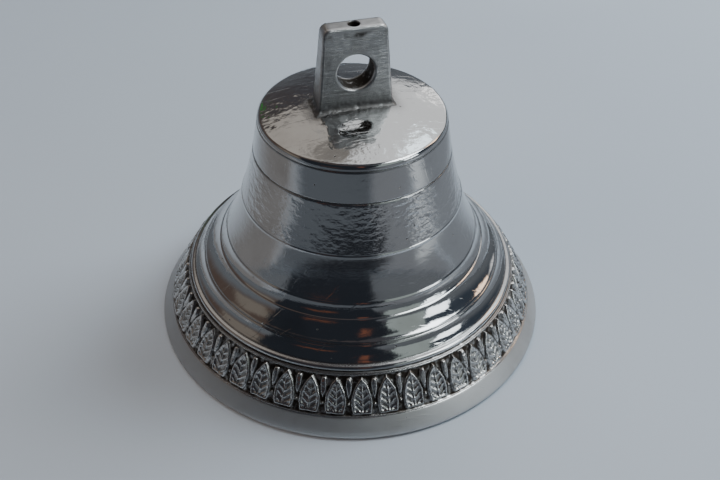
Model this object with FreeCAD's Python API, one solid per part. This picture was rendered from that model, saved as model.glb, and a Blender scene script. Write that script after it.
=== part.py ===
"""Cast yoke bell with a flat lug, a cast-in staple, a wire link and a forged clapper.

Millimetres. +Z is up along the bell's axis, the origin is the centre of the mouth plane,
the lug's width lies along X and its cross hole along Y.
"""

import FreeCAD, Part
import math
import os

Vector = FreeCAD.Vector
Y = Vector(0, 1, 0)
Z = Vector(0, 0, 1)

# ---- driving dimensions: body -------------------------------------------------------------

mouth_r = 55.0
lip_face = 4.4              # from the inner edge of the mouth out to mouth_r
lip_rounding = 0.8
lip_normal_deg = 36.0       # the smooth lip faces outwards, this far up from level
lip_top_r = 52.0            # where the smooth lip ends and the ornament band begins
lip_top_z = 5.2
band_top_r = 46.5
band_top_z = 15.0
band_recess = 0.45          # the band's ground lies this far inside the lip's surface
bead_low_r = 45.6
bead_low_z = 15.85
bead_high_r = 44.75
bead_high_z = 17.1
bead_rise = 0.4             # how far the bead stands out between its two edges
cove_r = 41.4               # turned groove between the first two coves
cove_z = 20.9
low_cove_sag = 0.35         # how hollow the coves and the waist are, in the middle
middle_cove_sag = 0.45
high_cove_sag = 0.25
waist_sag = 0.3
neck_sag = 0.2
ridge_r = 36.85             # fine ridge between the second and third coves
ridge_z = 25.4
waist_r = 34.6              # where the coves meet the waist
waist_z = 29.0
waist_step = 0.3
line_r = 30.0               # fine turned line on the waist
line_z = 40.75
groove_r = 26.35            # fine groove under the shoulder
groove_z = 54.7
groove_depth = 0.3
groove_width = 0.7
groove_lean = 0.1           # the groove's lower edge is this much further out than its middle
shoulder_r = 24.75
shoulder_z = 64.6
shoulder_rounding = 1.3
crown_z = 68.1              # top of the domed crown on the axis

# ---- driving dimensions: inside of the body -----------------------------------------------

bow_r = 40.6                # inner radius at the thick sound bow
bow_z = 14.5
flare_r = 33.0              # inner radius half way up the flare
flare_z = 24.0
throat_r = 26.3             # inner radius at the waist
throat_z = 41.0
neck_r = 21.4               # inner radius just under the crown
neck_z = 61.0
neck_corner_r = 20.5        # middle of the rounded inner corner
neck_corner_z = 62.45
ceiling_r = 18.4            # edge of the ceiling, after the inner corner
ceiling_edge_z = 63.2
ceiling_z = 63.9            # ceiling on the axis

# ---- driving dimensions: lug --------------------------------------------------------------

lug_top_z = 90.0
lug_foot_z = 66.0           # hidden inside the crown
lug_foot_width = 19.9
lug_top_width = 16.6
lug_foot_thickness = 7.1
lug_top_thickness = 4.6
lug_corner_r = 1.8          # rounding of the two top corners
lug_foot_fillet = 1.5
eye_r = 4.85                # cross hole that the strap or pin goes through
eye_z = 77.9
centre_hole_r = 1.4         # blind hole left in the top by the lathe centre
centre_hole_depth = 4.0
centre_point_depth = 0.85   # the cone at the bottom of that hole

# ---- driving dimensions: clapper and what it hangs on --------------------------------------

running_gap = 0.1           # radial clearance where two wires hang in each other
staple_wire_r = 1.5
staple_bend_r = 5.0         # centre line of the staple's round bow
staple_bow_z = 53.0         # centre line at the bottom of the bow, the link's axis
staple_leg_top_z = 71.0     # the legs end inside the root of the lug
link_wire_r = 1.2
link_bend_r = 3.4           # centre line of the link's two round ends
clapper_axis_z = 46.2       # centre line of the link's lower wire, the clapper's axis
clapper_eye_wire_r = 1.3
clapper_eye_hole_r = 2.0
shank_top_r = 2.1
shank_bottom_r = 3.0
ball_r = 8.0
ball_z = 13.0
tail_r = 2.6
tail_bottom_z = 3.0


def at(r, z):
    """A point of the outline, which lies in the XZ plane."""
    return Vector(r, 0, z)


def straight(start, end):
    return Part.LineSegment(start, end).toShape()


def cove(start, end, sag):
    """An arc from start to end that is hollow outwards by sag."""
    chord = end - start
    inward = Vector(-abs(chord.z), 0, -abs(chord.x)).normalize()
    return Part.Arc(start, (start + end) * 0.5 + inward * sag, end).toShape()


def bead(start, end, rise):
    """An arc from start to end that stands out by rise."""
    chord = end - start
    outward = Vector(abs(chord.z), 0, abs(chord.x)).normalize()
    return Part.Arc(start, (start + end) * 0.5 + outward * rise, end).toShape()


def lip_round_point(angle_deg):
    """A point of the lip's rounded edge, which is exactly mouth_r at its widest."""
    angle = math.radians(angle_deg)
    return at(mouth_r - lip_rounding * (1 - math.cos(angle)), lip_rounding * (1 + math.sin(angle)))


def outer_edges():
    """The outside of the body, from the mouth up to the axis."""
    lip_round = [lip_round_point(angle) for angle in (-90, 0, lip_normal_deg)]
    lip_top = at(lip_top_r, lip_top_z)
    ground_low = at(lip_top_r - band_recess, lip_top_z)
    ground_high = at(band_top_r - band_recess, band_top_z)
    band_top = at(band_top_r, band_top_z)
    bead_low = at(bead_low_r, bead_low_z)
    bead_high = at(bead_high_r, bead_high_z)
    cove_mark = at(cove_r, cove_z)
    ridge = at(ridge_r, ridge_z)
    waist_out = at(waist_r + waist_step, waist_z)
    waist_in = at(waist_r, waist_z + waist_step)
    line = at(line_r, line_z)
    groove_low = at(groove_r + groove_lean, groove_z - groove_width / 2)
    groove_floor = at(groove_r - groove_depth, groove_z)
    groove_high = at(groove_r - groove_lean, groove_z + groove_width / 2)
    shoulder = at(shoulder_r, shoulder_z)
    crown = at(0, crown_z)
    crown_mid = at(shoulder_r / 2, crown_z - (crown_z - shoulder_z) / 4)
    return [
        Part.Arc(*lip_round).toShape(),
        straight(lip_round[-1], lip_top),
        straight(lip_top, ground_low),
        straight(ground_low, ground_high),
        straight(ground_high, band_top),
        straight(band_top, bead_low),
        bead(bead_low, bead_high, bead_rise),
        cove(bead_high, cove_mark, low_cove_sag),
        cove(cove_mark, ridge, middle_cove_sag),
        cove(ridge, waist_out, high_cove_sag),
        straight(waist_out, waist_in),
        cove(waist_in, line, waist_sag),
        cove(line, groove_low, neck_sag),
        straight(groove_low, groove_floor),
        straight(groove_floor, groove_high),
        straight(groove_high, shoulder),
        Part.Arc(shoulder, crown_mid, crown).toShape(),
    ]


def inner_edges():
    """The inside of the body, from the axis down to the mouth."""
    ceiling_mid = at(ceiling_r / 2, ceiling_z - (ceiling_z - ceiling_edge_z) / 4)
    ceiling = Part.Arc(at(0, ceiling_z), ceiling_mid, at(ceiling_r, ceiling_edge_z)).toShape()
    corner_mid = at(neck_corner_r, neck_corner_z)
    corner = Part.Arc(at(ceiling_r, ceiling_edge_z), corner_mid, at(neck_r, neck_z)).toShape()
    wall = Part.BSplineCurve()
    wall.interpolate([
        at(neck_r, neck_z),
        at(throat_r, throat_z),
        at(flare_r, flare_z),
        at(bow_r, bow_z),
        at(mouth_r - lip_face, 0),
    ])
    return [ceiling, corner, wall.toShape()]


def body_of_revolution():
    edges = [straight(at(0, crown_z), at(0, ceiling_z))]
    edges += inner_edges()
    edges += [straight(at(mouth_r - lip_face, 0), at(mouth_r - lip_rounding, 0))]
    edges += outer_edges()
    outline = Part.Wire(Part.__sortEdges__(edges))
    body = Part.Face(outline).revolve(Vector(0, 0, 0), Z, 360)
    return body.makeFillet(shoulder_rounding, circle_edges(body, shoulder_r, shoulder_z))


def circle_edges(shape, radius, z):
    """The shape's round edges of this radius at this height, centred on the axis."""
    found = []
    for edge in shape.Edges:
        if edge.Degenerated or not isinstance(edge.Curve, Part.Circle):
            continue
        curve = edge.Curve
        if abs(curve.Radius - radius) < 1e-6 and abs(curve.Center.z - z) < 1e-6:
            found.append(edge)
    return found


def lug_section(width, thickness, z):
    corners = [
        Vector(-width / 2, -thickness / 2, z),
        Vector(width / 2, -thickness / 2, z),
        Vector(width / 2, thickness / 2, z),
        Vector(-width / 2, thickness / 2, z),
    ]
    return Part.makePolygon(corners + corners[:1])


def lug():
    """A flat plate that tapers upwards both ways, with two rounded top corners."""
    foot = lug_section(lug_foot_width, lug_foot_thickness, lug_foot_z)
    top = lug_section(lug_top_width, lug_top_thickness, lug_top_z)
    plate = Part.makeLoft([foot, top], True, True)
    corners = []
    for edge in plate.Edges:
        ends = [vertex.Point for vertex in edge.Vertexes]
        along_y = abs(ends[0].x - ends[1].x) < 1e-6
        if along_y and min(ends[0].z, ends[1].z) > lug_top_z - 1e-6:
            corners.append(edge)
    return plate.makeFillet(lug_corner_r, corners)


def crown_joint_edges(shape):
    """The edges where the lug's four sides run into the crown."""
    found = []
    for edge in shape.Edges:
        box = edge.BoundBox
        beside_lug = max(abs(box.XMin), abs(box.XMax)) < lug_foot_width / 2 + 0.5
        at_crown = box.ZMin > shoulder_z + 0.5 and box.ZMax < crown_z + 0.2
        if beside_lug and at_crown:
            found.append(edge)
    return found


def cross_hole():
    reach = lug_foot_thickness
    return Part.makeCylinder(eye_r, 2 * reach, Vector(0, -reach, eye_z), Y)


def centre_hole():
    straight_part = Part.makeCylinder(
        centre_hole_r, centre_hole_depth, Vector(0, 0, lug_top_z - centre_hole_depth), Z)
    point_z = lug_top_z - centre_hole_depth - centre_point_depth
    point = Part.makeCone(0, centre_hole_r, centre_point_depth, Vector(0, 0, point_z), Z)
    return straight_part.fuse(point)


def bell_casting(staple):
    """Body and lug in one casting, cast round the legs of the staple."""
    casting = body_of_revolution().fuse(lug()).removeSplitter()
    casting = casting.makeFillet(lug_foot_fillet, crown_joint_edges(casting))
    return casting.cut(cross_hole()).cut(centre_hole()).cut(staple).Solids[0]


def swept_wire(path_edges, wire_r, start, direction):
    section = Part.Wire(Part.makeCircle(wire_r, start, direction))
    return Part.Wire(path_edges).makePipeShell([section], True, True)


def clapper_staple():
    """A U of iron wire, bow down, legs up into the root of the lug."""
    bend_z = staple_bow_z + staple_bend_r
    left_top = Vector(-staple_bend_r, 0, staple_leg_top_z)
    left_bend = Vector(-staple_bend_r, 0, bend_z)
    right_bend = Vector(staple_bend_r, 0, bend_z)
    right_top = Vector(staple_bend_r, 0, staple_leg_top_z)
    path = [
        straight(left_top, left_bend),
        Part.Arc(left_bend, Vector(0, 0, staple_bow_z), right_bend).toShape(),
        straight(right_bend, right_top),
    ]
    return swept_wire(path, staple_wire_r, left_top, Z)


def link_bend_centres():
    """Heights of the centres of the link's upper and lower bends."""
    slack = link_bend_r - link_wire_r - staple_wire_r - running_gap
    return staple_bow_z - slack, clapper_axis_z + link_bend_r


def clapper_link():
    """A closed oval of wire, hung on the staple and holding the clapper's eye."""
    upper_z, lower_z = link_bend_centres()
    left_low = Vector(0, -link_bend_r, lower_z)
    left_high = Vector(0, -link_bend_r, upper_z)
    right_high = Vector(0, link_bend_r, upper_z)
    right_low = Vector(0, link_bend_r, lower_z)
    path = [
        straight(left_low, left_high),
        Part.Arc(left_high, Vector(0, 0, upper_z + link_bend_r), right_high).toShape(),
        straight(right_high, right_low),
        Part.Arc(right_low, Vector(0, 0, lower_z - link_bend_r), left_low).toShape(),
    ]
    return swept_wire(path, link_wire_r, left_low, Z)


def clapper():
    """Eye, tapered shank, ball and tail, forged in one."""
    eye_centre_z = clapper_axis_z + link_wire_r + running_gap - clapper_eye_hole_r
    eye_ring_r = clapper_eye_hole_r + clapper_eye_wire_r
    eye = Part.makeTorus(eye_ring_r, clapper_eye_wire_r, Vector(0, 0, eye_centre_z), Y)
    shank_top_z = eye_centre_z - eye_ring_r
    shank = Part.makeCone(
        shank_bottom_r, shank_top_r, shank_top_z - ball_z, Vector(0, 0, ball_z), Z)
    ball = Part.makeSphere(ball_r, Vector(0, 0, ball_z))
    tail = Part.makeCylinder(tail_r, ball_z - tail_bottom_z, Vector(0, 0, tail_bottom_z), Z)
    return eye.fuse([shank, ball, tail]).removeSplitter().Solids[0]


def main():
    os.makedirs("parts", exist_ok=True)
    staple = clapper_staple()
    nodes = {
        "bell_casting": bell_casting(staple),
        "clapper_staple": staple,
        "clapper_link": clapper_link(),
        "clapper": clapper(),
    }
    for name, shape in nodes.items():
        shape.exportStep("parts/" + name + ".step")
        box = shape.optimalBoundingBox()
        print(name, shape.ShapeType, "valid" if shape.isValid() else "NOT VALID",
              "volume", round(shape.Volume), "z", round(box.ZMin, 2), round(box.ZMax, 2),
              "x", round(box.XMin, 2), round(box.XMax, 2))


main()
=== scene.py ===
"""The looks of a nickel-plated yoke bell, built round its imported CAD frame.

Lengths are in millimetres inside the shape functions and become metres in make_mesh.
"""

import math

import bpy
from mathutils import Matrix, Vector, noise


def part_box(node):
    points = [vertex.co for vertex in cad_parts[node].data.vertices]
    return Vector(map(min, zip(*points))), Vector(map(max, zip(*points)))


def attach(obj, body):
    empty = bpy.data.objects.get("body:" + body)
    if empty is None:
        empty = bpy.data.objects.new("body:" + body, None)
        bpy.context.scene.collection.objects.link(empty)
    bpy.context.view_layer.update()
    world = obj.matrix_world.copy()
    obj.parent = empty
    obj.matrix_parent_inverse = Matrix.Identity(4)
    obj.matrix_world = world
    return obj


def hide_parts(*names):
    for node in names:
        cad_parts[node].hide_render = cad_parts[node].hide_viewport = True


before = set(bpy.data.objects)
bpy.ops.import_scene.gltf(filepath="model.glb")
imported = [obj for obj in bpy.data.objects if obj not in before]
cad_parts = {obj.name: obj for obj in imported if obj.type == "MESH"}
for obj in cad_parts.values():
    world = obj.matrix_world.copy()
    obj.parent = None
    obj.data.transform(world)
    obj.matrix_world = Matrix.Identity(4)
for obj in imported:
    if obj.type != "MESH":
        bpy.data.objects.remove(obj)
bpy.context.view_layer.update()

MM = 0.001

# ---- sizes read from the frame -------------------------------------------------------------

BODY_LOW, BODY_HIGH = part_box("bell_casting")
MOUTH_R = (BODY_HIGH.x - BODY_LOW.x) / 2 / MM
LUG_TOP_Z = BODY_HIGH.z / MM

# ---- the body's turned outline, in millimetres (radius, height) ----------------------------

LIP_ROUNDING = 0.8
LIP_FACE = 4.4                      # from the inner edge of the mouth out to MOUTH_R
LIP_NORMAL_DEG = 36                 # the smooth lip faces outwards, this far up from level
LIP_TOP = (52.0, 5.2)
GROUND_LOW = (51.55, 5.2)          # ground of the ornament band, where it meets the lip
GROUND_HIGH = (46.05, 15.0)
UNDER_BAND = (-0.35, 0.1)          # from that ground to the body's surface beneath it
BEAD_FOOT = ((46.3, 15.42), (46.05, 15.55), (45.75, 15.68), (45.62, 15.76))
BEAD_LOW = (45.7, 15.85)
BEAD_HIGH = (44.7, 17.05)
BEAD_TOP = ((44.48, 17.12), (44.3, 17.3))
FIRST_COVE = ((44.15, 17.5), (41.65, 20.7))
COVE_MARK = ((41.6, 20.72), (41.4, 20.8), (41.22, 20.95), (41.2, 21.1))
SECOND_COVE = ((41.05, 21.25), (37.1, 25.2))
RIDGE = ((37.08, 25.22), (37.0, 25.42), (36.85, 25.56), (36.66, 25.62))
THIRD_COVE = ((36.5, 25.75), (34.95, 28.85))
WAIST_STEP = ((34.95, 28.85), (34.88, 29.02), (34.74, 29.16), (34.58, 29.3))
LOW_WAIST = ((34.5, 29.5), (30.06, 40.45))
LINE = ((30.06, 40.5), (30.1, 40.66), (30.02, 40.84), (29.88, 40.95))
HIGH_WAIST = ((29.85, 41.1), (26.45, 54.35))
GROOVE = ((26.44, 54.4), (26.32, 54.52), (26.08, 54.68), (26.18, 54.86), (26.3, 54.98))
NECK = ((26.27, 55.15), (24.93, 63.3))
SHOULDER_LINE = ((24.93, 63.4), (24.82, 63.5), (24.85, 63.62))
SHOULDER_CENTRE = (23.5, 63.9)
SHOULDER_ROUNDING = 1.3
CROWN_EDGE_Z = 65.15               # the crown's height above SHOULDER_CENTRE
CROWN_Z = 68.1
CROWN_RINGS = 48
NECK_IN = (21.4, 61.0)
THROAT_IN = (26.3, 41.0)
FLARE_IN = (33.0, 24.0)
BOW_IN = (40.6, 14.5)
NECK_CORNER_IN = (20.5, 62.45)
CEILING_EDGE = (18.4, 63.2)
CEILING_Z = 63.9
CEILING_RINGS = 8
BODY_SEGMENTS = 320

# ---- ornament band -------------------------------------------------------------------------

MOTIFS = 46
BAND_SEGMENTS = MOTIFS * 32
BAND_STEP = 0.2
BAND_DEPTH = 0.8                    # the ring's back lies this far inside its ground
BORDER_HIGH = 0.5                   # height of the border under the bead
RELIEF = 0.8                        # how far the ornament stands out of its ground
LIP_LEVEL = 0.39                    # how far the lip stands out of the ground

# ---- lug -----------------------------------------------------------------------------------

EYE_Z = 77.9
EYE_R = 4.85
LUG_FOOT_Z = 66.0
LUG_FOOT_WIDTH = 19.9
LUG_TOP_WIDTH = 16.6
LUG_FOOT_THICKNESS = 7.1
LUG_TOP_THICKNESS = 4.6
LUG_CORNER_R = 1.9
LUG_EDGE_R = 0.7
EYE_EDGE_R = 0.4
LUG_FILLET = 1.25
LUG_STEPS = 22                      # rings of points between the eye and the plate's edge
CENTRE_HOLE_R = 1.4
CENTRE_HOLE_DEPTH = 4.0
CENTRE_POINT_DEPTH = 0.8
CENTRE_HOLE_BEVEL = 0.35

# ---- clapper -------------------------------------------------------------------------------

BALL_UP = 10.0                      # the ball's centre above the tail's end
EYE_WIRE_R = 1.3
EYE_RING_R = 3.3
NECK_GAP = 0.4                      # from the eye's ring down to the shank's neck
NECK_R = 2.1
TAIL_OUTLINE = ((0.0, 0.0), (1.6, 0.0), (2.3, 0.35), (2.55, 1.0), (2.5, 2.1))
TAIL_LENGTH = 2.6

# ---- looks ---------------------------------------------------------------------------------

# Height, width and darkness of the dirt that lies in each turned groove.
DIRTY_GROOVES = (
    (15.72, 0.22, 1.0),
    (17.2, 0.16, 0.6),
    (20.98, 0.18, 0.45),
    (54.68, 0.22, 0.55),
    (63.5, 0.14, 0.7),
)


def smooth(low, high, value):
    """0 at low, 1 at high, and a soft step between; it also falls, where high is below low."""
    t = min(1.0, max(0.0, (value - low) / (high - low)))
    return t * t * (3 - 2 * t)


def window(low, high, soft, value):
    return smooth(low - soft, low, value) * (1 - smooth(high, high + soft, value))


def wander(point, size, seed=0.0):
    """Smooth noise between about -1 and 1, with bumps about size millimetres across."""
    return noise.noise(Vector((point[0] / size + seed, point[1] / size - seed, point[2] / size)))


# ---- meshes --------------------------------------------------------------------------------

def make_mesh(name, points, faces, values=None, materials=(), material_of=None):
    """A smooth object from millimetre points, with per-point float attributes."""
    mesh = bpy.data.meshes.new(name)
    mesh.from_pydata([tuple(c * MM for c in p) for p in points], [], faces)
    mesh.validate()
    for key, numbers in (values or {}).items():
        layer = mesh.attributes.new(key, "FLOAT", "POINT")
        layer.data.foreach_set("value", numbers)
    for material in materials:
        mesh.materials.append(material)
    if material_of:
        mesh.polygons.foreach_set("material_index", [material_of(i) for i in range(len(faces))])
    mesh.shade_smooth()
    piece = bpy.data.objects.new(name, mesh)
    bpy.context.scene.collection.objects.link(piece)
    return piece


def curve_points(start, end, bulge=0.0, step=0.5):
    """Points from start up to, but without, end; bulge pushes the middle outwards."""
    dr, dz = end[0] - start[0], end[1] - start[1]
    length = math.hypot(dr, dz)
    count = max(1, round(length / step))
    points = []
    for i in range(count):
        t = i / count
        push = 4 * bulge * t * (1 - t)
        points.append((start[0] + dr * t + push * dz / length,
                       start[1] + dz * t - push * dr / length))
    return points


def round_points(centre, radius, first_deg, last_deg, count=6):
    points = []
    for i in range(count):
        angle = math.radians(first_deg + (last_deg - first_deg) * i / (count - 1))
        points.append((centre[0] + radius * math.cos(angle), centre[1] + radius * math.sin(angle)))
    return points


def through(points, samples=14):
    """A smooth curve through the points, by Catmull-Rom, without its last point."""
    ends = [points[0]] + list(points) + [points[-1]]
    out = []
    for p0, p1, p2, p3 in zip(ends, ends[1:], ends[2:], ends[3:]):
        for i in range(samples):
            t = i / samples
            out.append(tuple(
                0.5 * (2 * b + (c - a) * t + (2 * a - 5 * b + 4 * c - d) * t * t
                       + (3 * b - a - 3 * c + d) * t ** 3)
                for a, b, c, d in zip(p0, p1, p2, p3)))
    return out


def outline_normals(outline):
    normals = []
    last = len(outline) - 1
    for i in range(len(outline)):
        a = outline[max(0, i - 1)]
        b = outline[min(last, i + 1)]
        dr, dz = b[0] - a[0], b[1] - a[1]
        length = math.hypot(dr, dz) or 1.0
        normals.append((dz / length, -dr / length))
    return normals


def lathe(name, outline, segments, offset=None, marks=None, closed=False, **looks):
    """Turns the outline, given so that its outside is on the right, round the axis."""
    points, faces, rows = [], [], []
    values = {key: [] for key in (marks or {})}
    for (r, z), (nr, nz) in zip(outline, outline_normals(outline)):
        on_axis = r < 1e-6
        row = []
        for i in range(1 if on_axis else segments):
            angle = 2 * math.pi * i / segments
            c, s = math.cos(angle), math.sin(angle)
            push = offset((r * c, r * s, z), r, z, angle) if offset and not on_axis else 0.0
            radius = r + nr * push
            row.append(len(points))
            points.append((radius * c, radius * s, z + nz * push))
            for key, rule in (marks or {}).items():
                values[key].append(rule((r * c, r * s, z), r, z))
        rows.append(row if not on_axis else row * segments)
    pairs = list(zip(rows, rows[1:]))
    if closed:
        pairs.append((rows[-1], rows[0]))
    for low, high in pairs:
        for i in range(segments):
            j = (i + 1) % segments
            corners = [low[i], low[j], high[j], high[i]]
            corners = [v for k, v in enumerate(corners) if v != corners[k - 1]]
            if len(corners) > 2:
                faces.append(corners)
    return make_mesh(name, points, faces, values, **looks)


# ---- the body ------------------------------------------------------------------------------

def outer_outline():
    """From the inner edge of the mouth, over the outside, to the middle of the crown."""
    lip_centre = (MOUTH_R - LIP_ROUNDING, LIP_ROUNDING)
    points = curve_points((MOUTH_R - LIP_FACE, 0.0), (MOUTH_R - LIP_ROUNDING, 0.0), step=0.9)
    points += round_points(lip_centre, LIP_ROUNDING, -90, LIP_NORMAL_DEG)
    points += curve_points(points[-1], LIP_TOP, 0.06, 0.4)[1:]
    points.append(LIP_TOP)
    for r, z in (GROUND_LOW, GROUND_HIGH):
        points.append((r + UNDER_BAND[0], z + UNDER_BAND[1]))
    points += BEAD_FOOT
    points += curve_points(BEAD_LOW, BEAD_HIGH, 0.48, 0.16)
    points.append(BEAD_HIGH)
    points += BEAD_TOP
    points += curve_points(*FIRST_COVE, -0.34, 0.4)
    points += COVE_MARK
    points += curve_points(*SECOND_COVE, -0.4, 0.4)
    points += RIDGE
    points += curve_points(*THIRD_COVE, -0.2, 0.35)
    points += WAIST_STEP
    points += curve_points(*LOW_WAIST, -0.3, 0.45)
    points += LINE
    points += curve_points(*HIGH_WAIST, -0.2, 0.4)
    points += GROOVE
    points += curve_points(*NECK, 0.0, 0.45)
    points += SHOULDER_LINE
    points += round_points(SHOULDER_CENTRE, SHOULDER_ROUNDING, 4, 74, 8)
    edge = points[-1]
    rise = CROWN_Z - edge[1]
    for i in range(1, CROWN_RINGS + 1):
        r = edge[0] * (1 - i / CROWN_RINGS)
        points.append((r, CROWN_Z - rise * (r / edge[0]) ** 2))
    return points


def inner_outline():
    """From the middle of the ceiling, down the inside, to the inner edge of the mouth."""
    drop = CEILING_Z - CEILING_EDGE[1]
    points = []
    for i in range(CEILING_RINGS):
        r = CEILING_EDGE[0] * i / CEILING_RINGS
        points.append((r, CEILING_Z - drop * (r / CEILING_EDGE[0]) ** 2))
    points += [CEILING_EDGE, NECK_CORNER_IN]
    points += through([NECK_IN, THROAT_IN, FLARE_IN, BOW_IN, (MOUTH_R - LIP_FACE, 0.0)])
    return points


def outside_wear(point, r, z):
    """Hand polishing, small dings and cast ripples of the outside, in millimetres."""
    if r < MOUTH_R - LIP_FACE + 0.01 and z < 0.01:
        return 0.0
    hand = 0.025 * wander(point, 7.0) * smooth(0.5, 3.0, z)
    dings = 0.022 * wander(point, 3.2, 12.0) * window(15.0, 29.0, 0.5, z)
    patch = 0.45 + 0.55 * smooth(-0.2, 0.3, wander(point, 22.0, 3.0))
    ripple = window(42.5, 53.0, 2.5, z) * patch * 0.045 * wander(point, 2.4, 5.0)
    crown = smooth(65.0, 65.6, z) * (0.05 * wander(point, 4.5, 9.0) + 0.02 * wander(point, 1.8, 2.0))
    return hand + dings + ripple + crown


def satin_of(point, r, z):
    """How matt the plating is: 0 is a mirror, 1 is satin."""
    lip = 1 - smooth(4.8, 5.4, z)
    waist = window(29.5, 63.0, 0.6, z) * 0.16
    crown = smooth(64.6, 65.2, z) * 0.10
    mouldings = window(15.4, 29.2, 0.3, z) * 0.05
    return max(lip * 1.35, waist, crown, mouldings)


def ripple_of(point, r, z):
    """Where the casting's orange-peel skin shows through the polish."""
    patch = 0.35 + 0.65 * smooth(-0.25, 0.25, wander(point, 17.0, 3.0))
    crown = smooth(64.9, 65.4, z) * (0.30 + 0.6 * smooth(0.0, 0.35, wander(point, 9.0, 11.0)))
    return max(window(42.0, 54.0, 1.6, z) * patch, crown, 0.10 * window(17.0, 63.0, 1.0, z))


def grime_and_shade_of(point, r, z):
    """Dirt left in the grooves, and painted shade round the lug's foot, heavier on its left side."""
    dirt_and_shade = 0.0
    for level, width, depth in DIRTY_GROOVES:
        dirt_and_shade = max(dirt_and_shade, depth * math.exp(-((z - level) / width) ** 2))
    # Painted shade round the lug's foot on the crown, heavier on the left side.
    foot = math.hypot(max(0.0, abs(point[0]) - LUG_FOOT_WIDTH / 2),
                      max(0.0, abs(point[1]) - LUG_FOOT_THICKNESS / 2))
    if z > 65.0:
        dirt_and_shade = max(dirt_and_shade, (0.75 if point[0] < 0 else 0.5) * math.exp(-(foot / 2.2) ** 2))
    return dirt_and_shade


def bell_body(plating, inside):
    outside, hollow = outer_outline(), inner_outline()
    outside_faces = (len(outside) - 1) * BODY_SEGMENTS
    return lathe("bell_body", outside + hollow, BODY_SEGMENTS, body_wear(hollow),
                 {"satin": satin_of, "grime_and_shade": grime_and_shade_of, "ripple": ripple_of}, True,
                 materials=(plating, inside), material_of=lambda i: int(i >= outside_faces))


def body_wear(hollow):
    """The offset rule of the whole body: wear on the outside, cast roughness on the inside."""
    inner = set(hollow)

    def offset(point, r, z, angle):
        if (r, z) in inner:
            return 0.06 * wander(point, 3.0, 1.0) * smooth(0.0, 2.0, z)
        return outside_wear(point, r, z)
    return offset


# ---- the ornament band ---------------------------------------------------------------------

def lens(x, y, half_width, half_height):
    """Signed distance to a pointed oval that stands upright."""
    radius = (half_width ** 2 + half_height ** 2) / (2 * half_width)
    shift = radius - half_width
    return math.hypot(abs(x) + shift, y) - radius


def raised(distance, height, bevel=0.34):
    return height * smooth(0.0, bevel, -distance)


def ornament(x, y, period, tall):
    """Height of one repeat: a veined leaf that points up, and a dart between two leaves."""
    leaf = lens(x, y - 0.34 * tall, 0.43 * period, 0.62 * tall)
    leaf = max(leaf, 0.55 - y)
    inside = smooth(0.75, 1.1, -leaf)
    vein = (y - 0.9 * abs(x)) % 1.9 - 0.95
    height = raised(leaf, 0.95)
    height -= inside * (0.45 - 0.28 * smooth(0.45, 0.1, abs(vein)))
    height = max(height, raised(max(abs(x) - 0.34, leaf + 0.4), 1.05, 0.3))
    side = period / 2 - abs(x)
    dart = lens(side, y - 0.74 * tall, 0.95, 0.34 * tall)
    dart = max(dart, y - 0.93 * tall)
    height = max(height, raised(dart, 1.0) + raised(side - 0.1, 0.12, 0.2) * smooth(0.1, 0.4, -dart))
    return max(height, raised(math.hypot(side, y - 0.30 * tall) - 0.5, 0.85, 0.4))


def band_relief(point, angle, v, tall):
    """Height above the ground at this place of the band, in millimetres."""
    mid_r = (GROUND_LOW[0] + GROUND_HIGH[0]) / 2
    period = 2 * math.pi * mid_r / MOTIFS
    u = angle * mid_r + 0.16 * wander(point, 1.7, 4.0)
    y = v + 0.14 * wander(point, 1.9, 8.0)
    x = (u + period / 2) % period - period / 2
    height = RELIEF * ornament(x, y, period, tall)
    height *= 1 + 0.16 * wander(point, 2.6, 6.0)
    rough = 0.07 * wander(point, 0.75, 2.0) + 0.05 * wander(point, 0.35, 7.0)
    height += rough * (1.0 - 0.65 * smooth(0.2, 0.6, height))
    border_low = LIP_LEVEL * (1 - smooth(0.0, 0.4, v))
    border_high = BORDER_HIGH * window(tall - 0.12, tall + 0.16, 0.22, v)
    return max(height * window(0.45, tall - 0.5, 0.3, v) + rough * 0.3, border_low, border_high)


def band_line(v):
    """The ground's point at v millimetres up its slope, and its outward normal."""
    dr, dz = GROUND_HIGH[0] - GROUND_LOW[0], GROUND_HIGH[1] - GROUND_LOW[1]
    tall = math.hypot(dr, dz)
    return (GROUND_LOW[0] + dr * v / tall, GROUND_LOW[1] + dz * v / tall), (dz / tall, -dr / tall), tall


def ornament_band(material):
    """A closed ring that lies in the body's recess and carries the raised pattern."""
    tall = band_line(0)[2]
    low, high = -0.12, tall + 0.4
    count = round((high - low) / BAND_STEP)
    points, faces, hollow, rows = [], [], [], []
    for k in range(count + 1):
        v = low + (high - low) * k / count
        (r, z), (nr, nz), _ = band_line(v)
        row = []
        for i in range(BAND_SEGMENTS):
            angle = 2 * math.pi * i / BAND_SEGMENTS
            c, s = math.cos(angle), math.sin(angle)
            push = band_relief((r * c, r * s, z), angle, v, tall)
            row.append(len(points))
            points.append(((r + nr * push) * c, (r + nr * push) * s, z + nz * push))
            hollow.append(1 - smooth(0.12, 0.60, push))
        rows.append(row)
    for v in (high, low):
        (r, z), (nr, nz), _ = band_line(v)
        row = []
        for i in range(BAND_SEGMENTS):
            angle = 2 * math.pi * i / BAND_SEGMENTS
            row.append(len(points))
            back_r = r - nr * BAND_DEPTH
            points.append((back_r * math.cos(angle), back_r * math.sin(angle), z - nz * BAND_DEPTH))
            hollow.append(1.0)
        rows.append(row)
    for below, above in zip(rows, rows[1:] + rows[:1]):
        for i in range(BAND_SEGMENTS):
            j = (i + 1) % BAND_SEGMENTS
            faces.append([below[i], below[j], above[j], above[i]])
    return make_mesh("ornament_band", points, faces, {"hollow": hollow}, (material,))


# ---- the lug -------------------------------------------------------------------------------

def lug_fraction(z):
    return (z - LUG_FOOT_Z) / (LUG_TOP_Z - LUG_FOOT_Z)


def lug_half_width(z):
    return (LUG_FOOT_WIDTH + (LUG_TOP_WIDTH - LUG_FOOT_WIDTH) * lug_fraction(z)) / 2


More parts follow.
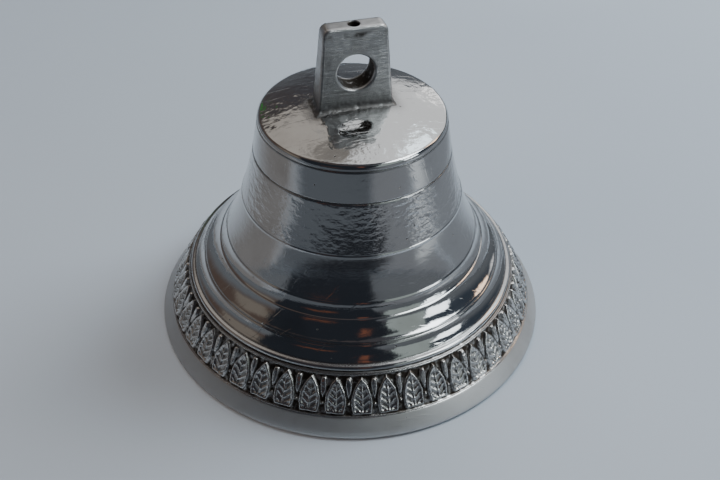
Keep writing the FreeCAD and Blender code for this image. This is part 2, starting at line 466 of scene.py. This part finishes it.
def lug_half_thickness(z):
    return (LUG_FOOT_THICKNESS + (LUG_TOP_THICKNESS - LUG_FOOT_THICKNESS) * lug_fraction(z)) / 2


def lug_outline(count=288):
    """Even points round the plate's face, seen along its cross hole."""
    top = LUG_TOP_Z
    corner = lug_half_width(top) - LUG_CORNER_R
    path = [(-lug_half_width(LUG_FOOT_Z), LUG_FOOT_Z), (lug_half_width(LUG_FOOT_Z), LUG_FOOT_Z)]
    path += round_points((corner, top - LUG_CORNER_R), LUG_CORNER_R, 4, 90, 12)
    path += round_points((-corner, top - LUG_CORNER_R), LUG_CORNER_R, 90, 176, 12)
    path.append(path[0])
    lengths = [math.dist(a, b) for a, b in zip(path, path[1:])]
    total = sum(lengths)
    points, leg, done = [], 0, 0.0
    for i in range(count):
        target = total * i / count
        while done + lengths[leg] < target:
            done += lengths[leg]
            leg += 1
        t = (target - done) / lengths[leg]
        a, b = path[leg], path[leg + 1]
        points.append((a[0] + (b[0] - a[0]) * t, a[1] + (b[1] - a[1]) * t))
    return points


def lug_loops():
    """The front half's loops, from the middle of the bore over the face to the middle of the side."""
    loops = [("bore", 0.0, depth) for depth in (0.0, 0.25, 0.5, 0.75)]
    for i in range(5):
        loops.append(("eye_round", math.pi / 2 * i / 4, 1.0))
    for i in range(1, LUG_STEPS):
        loops.append(("face", i / LUG_STEPS, 1.0))
    for i in range(5):
        loops.append(("edge_round", math.pi / 2 * i / 4, 1.0))
    for depth in (0.75, 0.5, 0.25, 0.0):
        loops.append(("side", 0.0, depth))
    return loops


def lug_point(kind, amount, depth, outer, eye):
    """One point of the front half: x, z on the face and the distance from the mid plane."""
    dx, dz = outer[0] - eye[0], outer[1] - eye[1]
    span = math.hypot(dx, dz)
    ux, uz = dx / span, dz / span
    if kind == "bore":
        x, z = eye
        y = depth * (lug_half_thickness(z) - EYE_EDGE_R)
    elif kind == "eye_round":
        out = EYE_EDGE_R * (1 - math.cos(amount))
        x, z = eye[0] + ux * out, eye[1] + uz * out
        y = lug_half_thickness(z) - EYE_EDGE_R * (1 - math.sin(amount))
    elif kind == "face":
        reach = EYE_EDGE_R + (span - EYE_EDGE_R - LUG_EDGE_R) * amount
        x, z = eye[0] + ux * reach, eye[1] + uz * reach
        y = lug_half_thickness(z)
    elif kind == "edge_round":
        inset = LUG_EDGE_R * (1 - math.sin(amount))
        x, z = outer[0] - ux * inset, outer[1] - uz * inset
        y = lug_half_thickness(z) - LUG_EDGE_R * (1 - math.cos(amount))
    else:
        x, z = outer
        y = depth * (lug_half_thickness(z) - LUG_EDGE_R)
    return x, y, z


def smudge_of(point):
    """Rubbed dirt under the lug's top edge, in patches."""
    below_top = math.exp(-((point[2] - LUG_TOP_Z + 1.9) / 0.75) ** 2)
    return 0.9 * below_top * smooth(-0.05, 0.25, wander(point, 3.2, 13.0))


def crown_height(x, y):
    share = math.hypot(x, y) / SHOULDER_CENTRE[0]
    return CROWN_Z - (CROWN_Z - CROWN_EDGE_Z) * share ** 2


def flared(x, y, z):
    """The cast fillet at the lug's foot, wider and rougher on the left."""
    height = z - crown_height(x, y)
    size = LUG_FILLET * (1.2 if x < 0 else 0.9)
    if height >= size:
        return x, y, z
    gap = min(size, size - max(0.0, height))
    flare = size - math.sqrt(max(0.0, size * size - gap * gap))
    flare *= 0.8 + 0.2 * wander((x, y, z), 1.4, 2.0)
    half_x, half_y = lug_half_width(z), lug_half_thickness(z)
    return x * (1 + flare / half_x), y * (1 + flare / half_y), z


def lug(material):
    outline = lug_outline()
    eyes = []
    for x, z in outline:
        angle = math.atan2(z - EYE_Z, x)
        eyes.append((EYE_R * math.cos(angle), EYE_Z + EYE_R * math.sin(angle)))
    front = lug_loops()
    loops = [(loop, -1) for loop in front]
    loops += [(loop, 1) for loop in reversed(front[1:-1])]
    points, faces, rows, dark, file_marks = [], [], [], [], []
    for (kind, amount, depth), side in loops:
        row = []
        for outer, eye in zip(outline, eyes):
            x, y, z = lug_point(kind, amount, depth, outer, eye)
            x, y, z = flared(x, side * y, z)
            raw = (x, y, z)
            worn = 0.10 * wander(raw, 6.0, 3.0) + 0.03 * wander(raw, 1.6, 5.0)
            foot = 1 - smooth(0.5, 3.5, z - crown_height(x, y))
            # Painted shade: the plate darker towards its bottom.
            low_shade = 1 - smooth(0.5, 6.5, z - crown_height(x, y))
            rough = foot * 0.12 * wander(raw, 0.8, 1.0)
            inside_eye = kind in ("bore", "eye_round")
            row.append(len(points))
            if inside_eye:
                points.append((x, y, z))
            else:
                out_y = side * (worn + rough) if kind == "face" else side * (worn + rough) * 0.6
                points.append((x + 0.05 * wander(raw, 3.0, 7.0), y + out_y, min(z, LUG_TOP_Z)))
            file_marks.append(0.0 if inside_eye else 1 - foot)
            # The bore is painted fully dark; the darkening at the foot and up the lower half is painted
            # shade; smudge_of adds rubbed dirt.
            dark.append(max(1.0 if kind == "bore" else 0.0, 0.75 * foot, 0.45 * low_shade, smudge_of(raw)))
        rows.append(row)
    count = len(outline)
    for near, far in zip(rows, rows[1:] + rows[:1]):
        for i in range(count):
            j = (i + 1) % count
            faces.append([near[i], far[i], far[j], near[j]])
    piece = make_mesh("lug", points, faces, {"file_marks": file_marks, "grime_and_shade": dark}, (material,))
    drill_centre_hole(piece)
    return piece


def drill_centre_hole(piece):
    """The blind hole that the lathe centre left in the lug's top."""
    bottom = LUG_TOP_Z - CENTRE_HOLE_DEPTH
    above = LUG_TOP_Z + 1.0
    rim_r = CENTRE_HOLE_R + CENTRE_HOLE_BEVEL
    outline = [(0.0, bottom - CENTRE_POINT_DEPTH), (CENTRE_HOLE_R, bottom)]
    outline += [(CENTRE_HOLE_R, LUG_TOP_Z - CENTRE_HOLE_BEVEL), (rim_r, LUG_TOP_Z + 0.1)]
    outline += [(rim_r, above), (0.0, above)]
    drill = lathe("drill", outline, 40)
    cut = piece.modifiers.new("centre hole", "BOOLEAN")
    cut.operation = "DIFFERENCE"
    cut.solver = "EXACT"
    cut.object = drill
    bpy.context.view_layer.update()
    shown = piece.evaluated_get(bpy.context.evaluated_depsgraph_get())
    drilled = bpy.data.meshes.new_from_object(shown)
    piece.modifiers.clear()
    piece.data = drilled
    piece.data.set_sharp_from_angle(angle=math.radians(50))
    bpy.data.objects.remove(drill)


# ---- clapper, link and staple --------------------------------------------------------------

def ring_tube(name, path, wire_r, material, closed, sides=20, rough=0.03):
    """A forged or drawn wire along a path of millimetre points."""
    points, faces, rows = [], [], []
    count = len(path)
    in_yz_plane = abs(path[0][0]) < 1e-6
    for k, here in enumerate(path):
        before = path[k - 1] if closed or k else path[0]
        after = path[(k + 1) % count] if closed or k < count - 1 else path[-1]
        along = (Vector(after) - Vector(before)).normalized()
        across = (1, 0, 0) if in_yz_plane and abs(along.x) < 0.9 else (0, 1, 0)
        side = along.cross(Vector(across)).normalized()
        up = side.cross(along)
        row = []
        for i in range(sides):
            angle = 2 * math.pi * i / sides
            out = side * math.cos(angle) + up * math.sin(angle)
            spot = Vector(here) + out * wire_r
            row.append(len(points))
            points.append(spot - out * rough * (0.6 + 0.6 * wander(spot, 0.9, 2.0)))
        rows.append(row)
    pairs = list(zip(rows, rows[1:])) + ([(rows[-1], rows[0])] if closed else [])
    for near, far in pairs:
        for i in range(sides):
            j = (i + 1) % sides
            faces.append([near[i], near[j], far[j], far[i]])
    if not closed:
        faces += [rows[0][::-1], rows[-1]]
    return make_mesh(name, points, faces, None, (material,))


def circle_arc(centre_z, radius, first_deg, last_deg, plane, count):
    """Points of an arc about a centre on the axis, in the XZ or the YZ plane."""
    points = []
    for i in range(count):
        angle = math.radians(first_deg + (last_deg - first_deg) * i / (count - 1))
        along, z = radius * math.cos(angle), centre_z + radius * math.sin(angle)
        points.append((along, 0.0, z) if plane == "XZ" else (0.0, along, z))
    return points


def staple(material):
    """The cast-in loop, its legs hidden in the crown and the lug's root."""
    low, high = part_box("clapper_staple")
    wire_r = (high.y - low.y) / 2 / MM
    bend_r = (high.x - low.x) / 2 / MM - wire_r
    bend_z = low.z / MM + wire_r + bend_r
    leg_top = high.z / MM
    legs = 20
    path = [(-bend_r, 0.0, leg_top + (bend_z - leg_top) * i / legs) for i in range(legs)]
    path += circle_arc(bend_z, bend_r, 180, 360, "XZ", 33)
    path += [(bend_r, 0.0, bend_z + (leg_top - bend_z) * (i + 1) / legs) for i in range(legs)]
    return ring_tube("staple", path, wire_r, material, False)


def link(material):
    """A closed oval of wire."""
    low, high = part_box("clapper_link")
    wire_r = (high.x - low.x) / 2 / MM
    bend_r = (high.y - low.y) / 2 / MM - wire_r
    upper = high.z / MM - wire_r - bend_r
    lower = low.z / MM + wire_r + bend_r
    path = circle_arc(upper, bend_r, 0, 180, "YZ", 25) + circle_arc(lower, bend_r, 180, 360, "YZ", 25)
    path += [(0.0, bend_r, lower + (upper - lower) * share) for share in (0.25, 0.5, 0.75)]
    return ring_tube("link", path, wire_r, material, True)


def clapper(material):
    """Forged in one: eye, hammered shank, ball and tail."""
    low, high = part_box("clapper")
    ball_r = (high.x - low.x) / 2 / MM
    bottom, top = low.z / MM, high.z / MM
    ball_z = bottom + BALL_UP
    eye_z = top - EYE_WIRE_R - EYE_RING_R
    neck_z = eye_z - EYE_RING_R - NECK_GAP
    outline = [(r, bottom + rise) for r, rise in TAIL_OUTLINE]
    first = -math.degrees(math.asin((BALL_UP - TAIL_LENGTH) / ball_r)) + 2
    outline += round_points((0.0, ball_z), ball_r - 0.05, first, 66, 40)
    outline += through([(3.1, ball_z + 7.7), (2.75, ball_z + 9.5), (2.6, ball_z + 14.0),
                        (2.3, neck_z - 3.0), (NECK_R, neck_z)], 12)
    outline += [(NECK_R, neck_z), (1.9, neck_z + 0.8), (1.2, neck_z + 1.3), (0.0, neck_z + 1.5)]

    def hammered(point, r, z, angle):
        flats = 0.10 * abs(math.cos(2 * angle)) * window(ball_z + 9.0, neck_z, 2.0, z)
        dents = 0.06 * (1 - abs(wander(point, 2.6, 3.0))) + 0.03 * wander(point, 1.0, 6.0)
        return -flats - dents * smooth(0.0, 0.8, r)

    def worn(point, r, z):
        """Rubbed bright where the ball strikes the wall."""
        strike = math.exp(-((z - ball_z) / 2.6) ** 2) * smooth(ball_r - 2.5, ball_r - 0.5, r)
        return strike * (0.75 + 0.25 * wander(point, 2.0, 1.0))

    body = lathe("clapper_forging", outline, 72, hammered, {"worn": worn}, materials=(material,))
    ring = circle_arc(eye_z, EYE_RING_R, 0, 352.5, "XZ", 48)
    eye = ring_tube("clapper_eye", ring, EYE_WIRE_R, material, True)
    return join([body, eye], "clapper_forging")


def join(parts, name):
    """One object from several meshes that all sit at the origin."""
    bpy.ops.object.select_all(action="DESELECT")
    for part in parts:
        part.select_set(True)
    bpy.context.view_layer.objects.active = parts[0]
    bpy.ops.object.join()
    parts[0].name = name
    return parts[0]


# ---- materials -----------------------------------------------------------------------------

class Shader:
    """A node material under construction."""

    def __init__(self, name):
        self.material = bpy.data.materials.new(name)
        self.material.use_nodes = True
        self.nodes = self.material.node_tree.nodes
        self.links = self.material.node_tree.links
        self.principled = self.nodes["Principled BSDF"]
        self.place = self.nodes.new("ShaderNodeTexCoord").outputs["Object"]
        self.height = None

    def put(self, socket, value):
        """Sets a constant, or links another node's output."""
        if isinstance(value, bpy.types.NodeSocket):
            self.links.new(value, socket)
        elif value is not None:
            socket.default_value = value

    def attribute(self, name):
        node = self.nodes.new("ShaderNodeAttribute")
        node.attribute_name = name
        return node.outputs["Fac"]

    def noise(self, size_mm, detail=3.0, stretch=(1, 1, 1), roughness=0.55):
        scale = self.nodes.new("ShaderNodeMapping")
        scale.inputs["Scale"].default_value = [1000 / size_mm / s for s in stretch]
        self.links.new(self.place, scale.inputs["Vector"])
        node = self.nodes.new("ShaderNodeTexNoise")
        node.inputs["Scale"].default_value = 1.0
        node.inputs["Detail"].default_value = detail
        node.inputs["Roughness"].default_value = roughness
        self.links.new(scale.outputs["Vector"], node.inputs["Vector"])
        return node.outputs["Fac"]

    def pits(self, spacing_mm, radius):
        """1 in small sparse holes, 0 elsewhere; radius is a share of the spacing."""
        scale = self.nodes.new("ShaderNodeMapping")
        scale.inputs["Scale"].default_value = [1000 / spacing_mm] * 3
        self.links.new(self.place, scale.inputs["Vector"])
        node = self.nodes.new("ShaderNodeTexVoronoi")
        node.inputs["Scale"].default_value = 1.0
        self.links.new(scale.outputs["Vector"], node.inputs["Vector"])
        return self.ramp(node.outputs["Distance"], radius, radius * 0.6)

    def ramp(self, value, low, high):
        node = self.nodes.new("ShaderNodeMapRange")
        node.interpolation_type = "SMOOTHSTEP"
        flip = low > high
        self.put(node.inputs["Value"], value)
        self.put(node.inputs["From Min"], min(low, high))
        self.put(node.inputs["From Max"], max(low, high))
        self.put(node.inputs["To Min"], 1.0 if flip else 0.0)
        self.put(node.inputs["To Max"], 0.0 if flip else 1.0)
        return node.outputs["Result"]

    def math(self, operation, a, b):
        node = self.nodes.new("ShaderNodeMath")
        node.operation = operation
        self.put(node.inputs[0], a)
        self.put(node.inputs[1], b)
        return node.outputs["Value"]

    def mix(self, share, a, b):
        node = self.nodes.new("ShaderNodeMix")
        node.data_type = "RGBA"
        self.put(node.inputs["Factor"], share)
        self.put(node.inputs["A"], (*a, 1.0) if isinstance(a, tuple) else a)
        self.put(node.inputs["B"], (*b, 1.0) if isinstance(b, tuple) else b)
        return node.outputs["Result"]

    def bump(self, height, depth_mm, strength=1.0):
        node = self.nodes.new("ShaderNodeBump")
        node.inputs["Distance"].default_value = depth_mm * MM
        self.put(node.inputs["Strength"], strength)
        self.put(node.inputs["Height"], height)
        if self.height is not None:
            self.links.new(self.height, node.inputs["Normal"])
        self.height = node.outputs["Normal"]

    def done(self, colour, roughness, metallic=1.0):
        self.put(self.principled.inputs["Base Color"], colour)
        self.put(self.principled.inputs["Roughness"], roughness)
        self.put(self.principled.inputs["Metallic"], metallic)
        if self.height is not None:
            self.links.new(self.height, self.principled.inputs["Normal"])
        return self.material


NICKEL = (0.60, 0.60, 0.598)
NICKEL_TARNISHED = (0.47, 0.46, 0.45)
# Dark colour of dirt, also used for painted shade.
GRIME_AND_SHADE = (0.045, 0.038, 0.032)


def plated_body():
    """Mirror-like nickel: turned lines, fine scratches, sparse pits, dirt in the grooves and painted shade
    round the lug's foot.
    """
    m = Shader("nickel_polished")
    satin, grime_and_shade, ripple = m.attribute("satin"), m.attribute("grime_and_shade"), m.attribute("ripple")
    peel = m.noise(1.25, 2.0, (1.7, 1.7, 1.0), 0.45)
    scratches = m.ramp(m.noise(0.8, 2.0, (14, 1.0, 7)), 0.62, 0.72)
    cloud = m.noise(16.0, 4.0)
    haze = m.noise(2.2, 5.0)
    fine = m.noise(0.35, 3.0)
    pits = m.pits(4.4, 0.055)
    turned = m.noise(0.22, 2.0, (60, 60, 1))
    # Dark with dirt in the grooves and pits, and with painted shade round the lug's foot.
    dirt_and_shade = m.math("MAXIMUM", m.math("MULTIPLY", grime_and_shade, m.ramp(haze, 0.15, 0.5)), pits)
    clean = m.mix(m.ramp(cloud, 0.5, 0.85), NICKEL, NICKEL_TARNISHED)
    colour = m.mix(dirt_and_shade, clean, GRIME_AND_SHADE)
    gloss = m.math("ADD", 0.06, m.math("MULTIPLY", satin, 0.36))
    gloss = m.math("ADD", gloss, m.math("MULTIPLY", m.ramp(haze, 0.42, 0.72), 0.03))
    gloss = m.math("ADD", gloss, m.math("MULTIPLY", dirt_and_shade, 0.4))
    m.bump(peel, 0.26, ripple)
    m.bump(scratches, 0.03, 0.6)
    m.bump(turned, 0.009, m.math("ADD", 0.22, m.math("MULTIPLY", satin, 0.6)))
    m.bump(fine, 0.016, m.math("ADD", 0.22, m.math("MULTIPLY", satin, 0.8)))
    m.bump(m.math("SUBTRACT", 1.0, pits), 0.15, 0.8)
    return m.done(colour, gloss)


def cast_inside():
    """The inside: as cast, thinly plated, dull and stained."""
    m = Shader("nickel_cast_inside")
    coarse, fine = m.noise(2.5, 6.0), m.noise(0.6, 4.0)
    stain = m.noise(14.0, 4.0)
    colour = m.mix(m.ramp(stain, 0.4, 0.65), (0.36, 0.33, 0.29), (0.20, 0.17, 0.13))
    m.bump(coarse, 0.25, 0.6)
    m.bump(fine, 0.08, 0.6)
    return m.done(colour, m.math("ADD", 0.42, m.math("MULTIPLY", fine, 0.25)), 0.9)


def plated_band():
    """Raised ornament rubbed bright over a dark, rough ground."""
    m = Shader("nickel_ornament")
    hollow = m.attribute("hollow")
    patchy, grain = m.noise(1.6, 5.0), m.noise(0.3, 4.0)
    dirt_and_shade = m.math("MULTIPLY", hollow, m.ramp(patchy, 0.25, 0.55))
    worn = m.mix(m.ramp(patchy, 0.5, 0.75), (0.64, 0.63, 0.615), (0.42, 0.40, 0.375))
    colour = m.mix(dirt_and_shade, worn, (0.06, 0.048, 0.04))
    gloss = m.math("ADD", 0.13, m.math("MULTIPLY", dirt_and_shade, 0.30))
    gloss = m.math("ADD", gloss, m.math("MULTIPLY", grain, 0.12))
    m.bump(grain, 0.05, 0.5)
    m.bump(patchy, 0.08, 0.35)
    return m.done(colour, gloss)


def plated_lug():
    """Filed flat by hand, then plated: fine level strokes, softer shine, a bore painted dark and painted
    shade low on the plate.
    """
    m = Shader("nickel_filed")
    filed, grime_and_shade = m.attribute("file_marks"), m.attribute("grime_and_shade")
    strokes = m.noise(0.36, 3.0, (30, 30, 1), 0.7)
    coarse = m.noise(0.9, 2.0, (18, 18, 1))
    cloud, haze = m.noise(7.0, 4.0), m.noise(1.2, 4.0)
    # Painted dark in the bore, painted shade low on the plate, and dirt under the top edge.
    dirt_and_shade = m.math("MULTIPLY", grime_and_shade, m.ramp(haze, 0.1, 0.5))
    clean = m.mix(m.ramp(cloud, 0.42, 0.7), NICKEL, (0.46, 0.455, 0.45))
    scored = m.math("MULTIPLY", filed, m.ramp(strokes, 0.52, 0.72))
    clean = m.mix(m.math("MULTIPLY", scored, 0.7), clean, (0.22, 0.215, 0.21))
    colour = m.mix(dirt_and_shade, clean, GRIME_AND_SHADE)
    gloss = m.math("ADD", 0.20, m.math("MULTIPLY", strokes, 0.22))
    m.bump(strokes, 0.20, filed)
    m.bump(coarse, 0.12, m.math("MULTIPLY", filed, 0.6))
    m.bump(haze, 0.05, 0.5)
    return m.done(colour, m.math("ADD", gloss, m.math("MULTIPLY", dirt_and_shade, 0.3)))


def forged_iron():
    m = Shader("iron_forged")
    worn = m.attribute("worn")
    scale, fine = m.noise(1.8, 5.0), m.noise(0.4, 4.0)
    rust = m.ramp(m.noise(5.0, 5.0), 0.52, 0.66)
    dark = m.mix(rust, (0.055, 0.05, 0.047), (0.14, 0.065, 0.035))
    colour = m.mix(m.math("MULTIPLY", worn, m.ramp(scale, 0.3, 0.55)), dark, (0.42, 0.40, 0.38))
    gloss = m.math("SUBTRACT", 0.62, m.math("MULTIPLY", worn, 0.32))
    m.bump(scale, 0.12, 0.7)
    m.bump(fine, 0.04, 0.6)
    return m.done(colour, gloss, m.math("SUBTRACT", 0.92, m.math("MULTIPLY", rust, 0.5)))


def iron_wire():
    m = Shader("iron_drawn_wire")
    scale, fine = m.noise(1.5, 5.0), m.noise(0.35, 3.0)
    rust = m.ramp(m.noise(3.5, 5.0), 0.48, 0.64)
    colour = m.mix(rust, (0.20, 0.185, 0.175), (0.15, 0.07, 0.04))
    m.bump(scale, 0.07, 0.6)
    m.bump(fine, 0.03, 0.5)
    return m.done(colour, m.math("ADD", 0.38, m.math("MULTIPLY", rust, 0.3)),
                  m.math("SUBTRACT", 0.95, m.math("MULTIPLY", rust, 0.5)))


def pale_table():
    m = Shader("pale_table")
    cloud, grain = m.noise(180.0, 3.0), m.noise(0.8, 3.0)
    colour = m.mix(cloud, (0.44, 0.50, 0.57), (0.48, 0.54, 0.61))
    m.bump(grain, 0.02, 0.25)
    return m.done(colour, m.math("ADD", 0.5, m.math("MULTIPLY", grain, 0.1)), 0.0)


# ---- stage, lights and camera --------------------------------------------------------------

def table(size=12.0):
    """A plain flat sheet."""
    cells = 40
    points, faces = [], []
    for j in range(cells + 1):
        for i in range(cells + 1):
            points.append(((i / cells - 0.5) * size / MM, (j / cells - 0.5) * size / MM, 0.0))
    for j in range(cells):
        for i in range(cells):
            a = j * (cells + 1) + i
            faces.append([a, a + 1, a + cells + 2, a + cells + 1])
    floor = make_mesh("table", points, faces, None, (pale_table(),))


def aimed(piece, azimuth, elevation, distance, height=0.04):
    """Puts a lamp or card at azimuth (0 is +X, 90 is +Y) and elevation, facing the bell."""
    a, e = math.radians(azimuth), math.radians(elevation)
    away = Vector((math.cos(a) * math.cos(e), math.sin(a) * math.cos(e), math.sin(e)))
    piece.location = away * distance + Vector((0, 0, height))
    piece.rotation_mode = "QUATERNION"
    piece.rotation_quaternion = away.to_track_quat("Z", "Y")


def softbox(name, azimuth, elevation, distance, width, height, power, colour):
    """A rectangular lamp that lights the table and the bell, unseen by itself."""
    lamp = bpy.data.lights.new(name, "AREA")
    lamp.shape = "RECTANGLE"
    lamp.size, lamp.size_y = width, height
    lamp.energy = power
    lamp.color = colour
    piece = bpy.data.objects.new(name, lamp)
    aimed(piece, azimuth, elevation, distance)
    piece.visible_camera = False
    piece.visible_glossy = False
    bpy.context.scene.collection.objects.link(piece)


def reflected_only(piece):
    """A studio card: the polished metal sees it, the camera and the table don't."""
    piece.visible_camera = False
    piece.visible_diffuse = False
    piece.visible_shadow = False
    piece.visible_transmission = False


def card_material(name, colour, strength, soft):
    """Even light that fades out over the card's soft edge, a share of its half size."""
    m = Shader(name)
    m.nodes.remove(m.principled)
    split = m.nodes.new("ShaderNodeSeparateXYZ")
    m.links.new(m.nodes.new("ShaderNodeTexCoord").outputs["Generated"], split.inputs["Vector"])
    share = None
    for axis in ("X", "Y"):
        off = m.math("ABSOLUTE", m.math("SUBTRACT", split.outputs[axis], 0.5), None)
        inside = m.ramp(off, 0.5, 0.5 * (1 - soft))
        share = inside if share is None else m.math("MULTIPLY", share, inside)
    light = m.nodes.new("ShaderNodeEmission")
    light.inputs["Color"].default_value = (*colour, 1.0)
    light.inputs["Strength"].default_value = strength
    clear = m.nodes.new("ShaderNodeBsdfTransparent")
    blend = m.nodes.new("ShaderNodeMixShader")
    m.put(blend.inputs["Fac"], share)
    m.links.new(clear.outputs["BSDF"], blend.inputs[1])
    m.links.new(light.outputs["Emission"], blend.inputs[2])
    m.links.new(blend.outputs["Shader"], m.nodes["Material Output"].inputs["Surface"])
    return m.material


def card(name, azimuth, elevation, distance, width, height, colour, strength, soft=0.2):
    half_w, half_h = width / 2 / MM, height / 2 / MM
    corners = [(-half_w, -half_h, 0), (half_w, -half_h, 0), (half_w, half_h, 0), (-half_w, half_h, 0)]
    piece = make_mesh(name, corners, [[0, 1, 2, 3]], None, (card_material(name, colour, strength, soft),))
    aimed(piece, azimuth, elevation, distance)
    reflected_only(piece)
    return piece


def floor_card(name, x, y, width, depth, colour, strength, soft, height_mm=1.5):
    """A card that lies just above the table, over the floor cards that are lower."""
    piece = card(name, 0, 90, 0, width, depth, colour, strength, soft)
    piece.rotation_quaternion = (1, 0, 0, 0)
    piece.location = (x, y, height_mm * MM)
    return piece


def dim_room(radius=3.0):
    """What the metal sees where there is no card: a dim room, lighter low down, warm on the left."""
    m = Shader("dim_room")
    m.nodes.remove(m.principled)
    split = m.nodes.new("ShaderNodeSeparateXYZ")
    m.links.new(m.place, split.inputs["Vector"])
    side = m.ramp(split.outputs["X"], -radius * 0.7, radius * 0.7)
    rise = m.ramp(split.outputs["Z"], radius * 0.10, radius * 0.42)
    upper = m.mix(side, (0.115, 0.085, 0.072), (0.05, 0.066, 0.09))
    light = m.nodes.new("ShaderNodeEmission")
    m.put(light.inputs["Color"], m.mix(rise, (0.165, 0.18, 0.20), upper))
    light.inputs["Strength"].default_value = 0.9
    m.links.new(light.outputs["Emission"], m.nodes["Material Output"].inputs["Surface"])
    outline = [(radius / MM * math.sin(math.radians(a)), radius / MM * math.cos(math.radians(a)))
               for a in range(0, 176, 5)]
    outline[0] = (0.0, radius / MM)
    piece = lathe("dim_room", outline, 48, materials=(m.material,))
    reflected_only(piece)


GLARE_TURN_DEG = -62


def lights():
    """Soft lamps for the table and the bell, and the cards that the polished metal mirrors."""
    world = bpy.data.worlds.new("studio")
    world.use_nodes = True
    background = world.node_tree.nodes["Background"]
    background.inputs["Color"].default_value = (0.58, 0.68, 0.80, 1.0)
    background.inputs["Strength"].default_value = 0.20
    bpy.context.scene.world = world
    softbox("window_light", 12, 42, 0.9, 0.5, 0.5, 8.5, (0.88, 0.95, 1.0))
    softbox("room_light", 95, 62, 1.1, 0.9, 0.6, 3.5, (0.98, 0.98, 0.97))
    softbox("left_fill", -166, 42, 0.6, 0.35, 0.35, 0.85, (1.0, 0.68, 0.44))
    dim_room()
    card("back_wall", 44, 45, 1.2, 1.30, 1.5, (0.97, 0.985, 1.0), 1.12, 0.25)
    card("back_wall_left", 108, 52, 1.25, 0.95, 0.90, (1.0, 0.93, 0.85), 0.54, 0.4)
    card("back_window", 52, 17, 1.1, 0.34, 0.26, (1.0, 1.0, 1.0), 2.0, 0.4)
    card("crown_glare", 43, 50, 1.1, 0.24, 0.34, (0.82, 0.93, 1.0), 3.2, 0.45)
    card("ceiling_beam", 84, 60, 1.1, 0.36, 0.26, (0.26, 0.24, 0.22), 1.0, 0.6)
    card("right_wall", -63, 36, 1.15, 0.64, 1.05, (0.40, 0.46, 0.45), 1.0, 0.15)
    card("window", -18, 56, 1.0, 0.52, 0.46, (0.90, 0.97, 1.0), 7.0, 0.2)
    card("window_low", -37, 21, 1.0, 0.34, 0.36, (0.88, 0.96, 1.0), 4.0, 0.15)
    card("lamp_glow", 9, 33, 1.0, 0.24, 0.44, (1.0, 0.72, 0.52), 3.2, 0.4)
    card("left_wall", 175, 30, 1.2, 0.80, 0.70, (0.80, 0.70, 0.60), 0.27, 0.5)
    card("plant", 99, 23, 1.1, 0.11, 0.12, (0.04, 0.34, 0.05), 0.8, 0.5)
    card("hands", -94, 42, 0.6, 0.09, 0.34, (0.50, 0.20, 0.13), 0.42, 0.8)
    card("sleeve", -128, 14, 0.6, 0.34, 0.09, (0.40, 0.17, 0.11), 0.36, 0.7)
    card("photographer", -123, 33, 0.75, 1.26, 1.10, (0.022, 0.026, 0.034), 1.0, 0.12)
    floor_card("near_table", 0.42, -0.48, 0.9, 0.80, (0.23, 0.245, 0.27), 1.0, 0.12)
    floor_card("right_table", 0.46, -0.01, 0.80, 0.36, (0.26, 0.285, 0.32), 1.0, 0.15)
    floor_card("dark_apron", -0.27, -0.48, 0.60, 0.90, (0.115, 0.13, 0.15), 1.0, 0.10, 2.0)
    floor_card("dark_apron_left", -0.46, 0.16, 0.84, 0.44, (0.225, 0.22, 0.22), 1.0, 0.25, 2.2)
    floor_card("dark_floor_far", -0.24, -0.61, 0.72, 0.78, (0.02, 0.022, 0.028), 1.0, 0.12, 2.4)
    streak = floor_card("table_glare", 0.155, -0.13, 0.25, 0.05, (0.88, 0.95, 1.0), 0.85, 0.7, 2.6)
    streak.rotation_quaternion = Matrix.Rotation(math.radians(GLARE_TURN_DEG), 3, "Z").to_quaternion()


CAMERA_TURN = math.radians(15.5)      # the camera stands this far left of square to the lug
CAMERA_BACK = 0.22317
CAMERA_UP = 0.2090
CAMERA_PITCH = math.radians(40.06)
CAMERA_YAW = math.radians(0.65)
CAMERA_ROLL = math.radians(1.10)
CAMERA_LENS = 50.95


def camera():
    data = bpy.data.cameras.new("camera")
    data.lens = CAMERA_LENS
    data.sensor_width = 36.0
    data.clip_start = 0.01
    ahead = Vector((math.sin(CAMERA_YAW) * math.cos(CAMERA_PITCH),
                    math.cos(CAMERA_YAW) * math.cos(CAMERA_PITCH), -math.sin(CAMERA_PITCH)))
    level = Vector((math.cos(CAMERA_YAW), -math.sin(CAMERA_YAW), 0.0))
    above = level.cross(ahead)
    right = level * math.cos(CAMERA_ROLL) + above * math.sin(CAMERA_ROLL)
    up = above * math.cos(CAMERA_ROLL) - level * math.sin(CAMERA_ROLL)
    turned = Matrix((right, up, -ahead)).transposed().to_4x4()
    turned.translation = Vector((0.0, -CAMERA_BACK, CAMERA_UP))
    piece = bpy.data.objects.new("camera", data)
    piece.matrix_world = Matrix.Rotation(-CAMERA_TURN, 4, "Z") @ turned
    bpy.context.scene.collection.objects.link(piece)
    bpy.context.scene.camera = piece


def main():
    plated = (bell_body(plated_body(), cast_inside()), ornament_band(plated_band()), lug(plated_lug()))
    for piece in plated:
        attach(piece, "bell")
        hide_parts("bell_casting")
    wire = iron_wire()
    for piece, body, node in ((staple(wire), "bell", "clapper_staple"), (link(wire), "link", "clapper_link")):
        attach(piece, body)
        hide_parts(node)
    forging = clapper(forged_iron())
    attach(forging, "clapper")
    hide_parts("clapper")
    table()
    lights()
    camera()


main()
